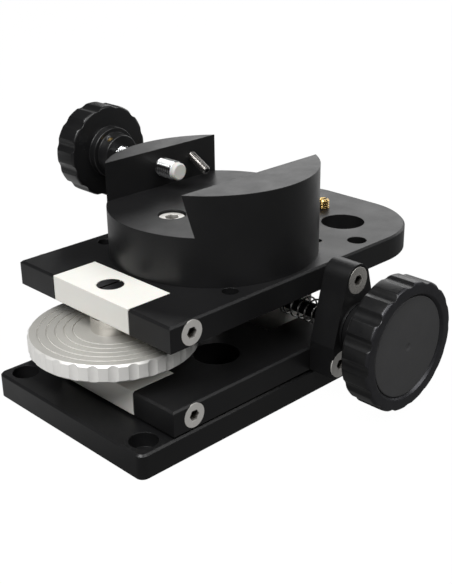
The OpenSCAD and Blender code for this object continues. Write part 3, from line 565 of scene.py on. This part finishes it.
lo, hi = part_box("safety_screw")
slant = math.radians(28)
screw_dir = Vector((0, -math.cos(slant), -math.sin(slant)))
safety_r = (hi.x - lo.x) / 2
safety_len = ((hi.y - lo.y) - 2 * safety_r * math.sin(slant)) / math.cos(slant)
outer_end = (lo + hi) / 2 - screw_dir * safety_len / 2
thread_steel = machined_steel("thread_steel", (0.50, 0.48, 0.46), (0.66, 0.64, 0.62), 0.16, 0.26,
                              edge=0.02 * mm)
radii, heights, angles = thread(safety_len, safety_r, 0.7 * mm, 0.4 * mm)
points, faces = skin(radii, heights, angles)
safety_screw = new_piece("safety_set_screw", set_on_axis(points, outer_end, screw_dir), faces, thread_steel,
                         "altitude_table")
socket_af, socket_depth = 2.2 * mm, 3 * mm
hex_bored(safety_screw, outer_end + screw_dir * safety_len, -screw_dir, socket_af, socket_depth)
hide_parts("safety_screw")


# ---- Clamp screw and knob -------------------------------------------------------------------
# A chromed M8 screw with a loose nylon tip presses on the dovetail bar. Its knob is moulded
# like the azimuth knob, only smaller, and a brass grub screw pins it.
def bright_chrome(name):
    return machined_steel(name, (0.66, 0.67, 0.68), (0.80, 0.81, 0.82), 0.1, 0.18, edge=0.02 * mm)


chrome = bright_chrome("bright_chrome")
lo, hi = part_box("clamp_screw")
clamp_x, clamp_z = (lo.x + hi.x) / 2, (lo.z + hi.z) / 2
radii, heights, angles = thread(hi.y - lo.y, (hi.x - lo.x) / 2, 1.25 * mm, 0.6 * mm)
points, faces = skin(radii, heights, angles)
points = set_on_axis(points, (clamp_x, lo.y, clamp_z), (0, 1, 0))
clamp_screw = new_piece("clamp_screw_thread", points, faces, chrome, "clamp_drive")
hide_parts("clamp_screw")

lo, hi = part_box("clamp_knob")
cap_lo, cap_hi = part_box("clamp_knob_cap")
rim_r, boss_r = 20 * mm, 9 * mm
knob_len = hi.y - lo.y
rim_z = knob_len - 12 * mm
corners = knob_corners(rim_r, boss_r, boss_r + 2 * mm, rim_z * 0.6, rim_z, knob_len,
                       (cap_hi.x - cap_lo.x) / 2, hi.y - cap_lo.y, edge=1.5 * mm)
points, faces = grip_knob(corners, rim_r, count=12, first_deg=15, scallop_r=4 * mm, depth=1 * mm)
front_to_plus_y = np.array([[1, 0, 0], [0, 0, -1], [0, 1, 0]])
points = np.asarray(points) @ front_to_plus_y + np.array([clamp_x, lo.y, clamp_z])
clamp_knob = new_piece("clamp_grip_knob", points, faces, knob_black, "clamp_drive", 40)
grub_lo, grub_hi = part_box("clamp_knob_grub")
grub_lean, grub_r = math.radians(30), 1.5 * mm
drilled(clamp_knob, (clamp_x, (grub_lo.y + grub_hi.y) / 2, clamp_z),
        (-math.sin(grub_lean), 0, math.cos(grub_lean)), grub_r + 0.05 * mm, boss_r + 1 * mm)
pale_front(clamp_knob, hi.y, (0, 1, 0))
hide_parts("clamp_knob")
clamp_cap = knob_cap("clamp_knob_disc", (clamp_x, cap_lo.y, clamp_z), (0, 1, 0),
                     (cap_hi.x - cap_lo.x) / 2, cap_hi.y - cap_lo.y, cap_black, "clamp_drive")
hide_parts("clamp_knob_cap")


# ---- Studio ---------------------------------------------------------------------------------
# A pale floor, a large soft light low behind the mount, a strong one high at its left and a
# weaker one in front. The camera looks down on the wheel's corner.
floor_half, floor_gap = 8.0, 0.05 * mm
floor_corners = [(x * floor_half, y * floor_half, -floor_gap)
                 for x, y in ((-1, -1), (1, -1), (1, 1), (-1, 1))]
floor_mesh = bpy.data.meshes.new("floor")
floor_mesh.from_pydata(floor_corners, [], [(0, 1, 2, 3)])
floor = bpy.data.objects.new("floor", floor_mesh)
bpy.context.scene.collection.objects.link(floor)
floor_paint, shader, node, link = start_finish("pale_floor", (0.4, 0.4, 0.4), 0.9)
where = node("TexCoord").outputs["Object"]
across = node("VectorMath", {0: where, 1: (0.7, -0.7, 0)}, operation="DOT_PRODUCT")
left_card = node("MapRange", {"Value": across.outputs["Value"], "From Min": -0.12, "From Max": 0.02,
                              "To Min": 0.6, "To Max": 0.0}, interpolation_type="SMOOTHSTEP")
away = node("VectorMath", {0: where}, operation="LENGTH")
near = node("MapRange", {"Value": away.outputs["Value"], "From Min": 0.16, "From Max": 0.3,
                         "To Min": 1.0, "To Max": 0.2}, interpolation_type="SMOOTHSTEP")
left_near = node("Math", {0: left_card.outputs["Result"], 1: near.outputs["Result"]}, operation="MULTIPLY")
behind = node("VectorMath", {0: where, 1: (0.7, 0.7, 0)}, operation="DOT_PRODUCT")
back_card = node("MapRange", {"Value": behind.outputs["Value"], "From Min": 0.1, "From Max": 0.3,
                              "To Min": 0.16, "To Max": 0.9}, interpolation_type="SMOOTHSTEP")
cards = node("Math", {0: left_near.outputs["Value"], 1: back_card.outputs["Result"]}, operation="MAXIMUM")
bounce = node("Emission", {"Color": (1, 1, 1, 1), "Strength": cards.outputs["Value"]})
glow = node("Emission", {"Color": (1, 1, 1, 1), "Strength": 1.03})
seen = node("LightPath").outputs["Is Camera Ray"]
lit = node("MixShader", {"Fac": 0.96, 1: shader.outputs["BSDF"], 2: glow.outputs["Emission"]})
both = node("MixShader", {"Fac": seen, 1: bounce.outputs["Emission"], 2: lit.outputs["Shader"]})
link(both.outputs["Shader"], floor_paint.node_tree.nodes["Material Output"].inputs["Surface"])
floor_mesh.materials.append(floor_paint)

middle = Vector((10 * mm, 0, 50 * mm))


def soft_light(name, azimuth, elevation, distance, width, height, strength):
    """A soft box that faces the mount from a compass angle and a height angle, in degrees."""
    a, e = math.radians(azimuth), math.radians(elevation)
    lamp = bpy.data.lights.new(name, "AREA")
    lamp.shape = "RECTANGLE"
    lamp.size, lamp.size_y = width, height
    lamp.energy = strength * width * height * math.pi
    thing = bpy.data.objects.new(name, lamp)
    towards = Vector((math.cos(a) * math.cos(e), math.sin(a) * math.cos(e), math.sin(e)))
    thing.location = middle + towards * distance
    thing.rotation_euler = towards.to_track_quat("Z", "Y").to_euler()
    bpy.context.scene.collection.objects.link(thing)


soft_light("light_behind", 20, 26, distance=1.6, width=1.9, height=1.0, strength=1.85)
soft_light("light_left", 195, 56, distance=1.3, width=0.85, height=0.85, strength=9.5)
soft_light("light_front", 285, 45, distance=1.3, width=0.8, height=0.8, strength=4.2)

world = bpy.data.worlds.new("studio")
world.use_nodes = True
sky = world.node_tree.nodes["Background"]
sky.inputs["Color"].default_value = (1, 1, 1, 1)
sky.inputs["Strength"].default_value = 0.05
white = world.node_tree.nodes.new("ShaderNodeBackground")
white.inputs["Color"].default_value = (1, 1, 1, 1)
white.inputs["Strength"].default_value = 1.03
path = world.node_tree.nodes.new("ShaderNodeLightPath")
pick = world.node_tree.nodes.new("ShaderNodeMixShader")
world.node_tree.links.new(path.outputs["Is Camera Ray"], pick.inputs["Fac"])
world.node_tree.links.new(sky.outputs["Background"], pick.inputs[1])
world.node_tree.links.new(white.outputs["Background"], pick.inputs[2])
world.node_tree.links.new(pick.outputs["Shader"], world.node_tree.nodes["World Output"].inputs["Surface"])
bpy.context.scene.world = world
bpy.context.scene.view_settings.view_transform = "Standard"

lens = bpy.data.cameras.new("camera")
lens.sensor_width = 36
lens.lens = 62.71
lens.clip_start = 0.01
camera = bpy.data.objects.new("camera", lens)
eye_x, eye_y, eye_z = -252.43 * mm, -282.41 * mm, 202.93 * mm
yaw, pitch, roll = math.radians(-43.85), math.radians(23.56), math.radians(-0.89)
forward = Vector((-math.sin(yaw) * math.cos(pitch), math.cos(yaw) * math.cos(pitch), -math.sin(pitch)))
level = Vector((math.cos(yaw), math.sin(yaw), 0))
upward = level.cross(forward)
right = level * math.cos(roll) + upward * math.sin(roll)
up = upward * math.cos(roll) - level * math.sin(roll)
camera.matrix_world = Matrix((
    (right.x, up.x, -forward.x, eye_x),
    (right.y, up.y, -forward.y, eye_y),
    (right.z, up.z, -forward.z, eye_z),
    (0, 0, 0, 1),
))
bpy.context.scene.collection.objects.link(camera)
bpy.context.scene.camera = camera
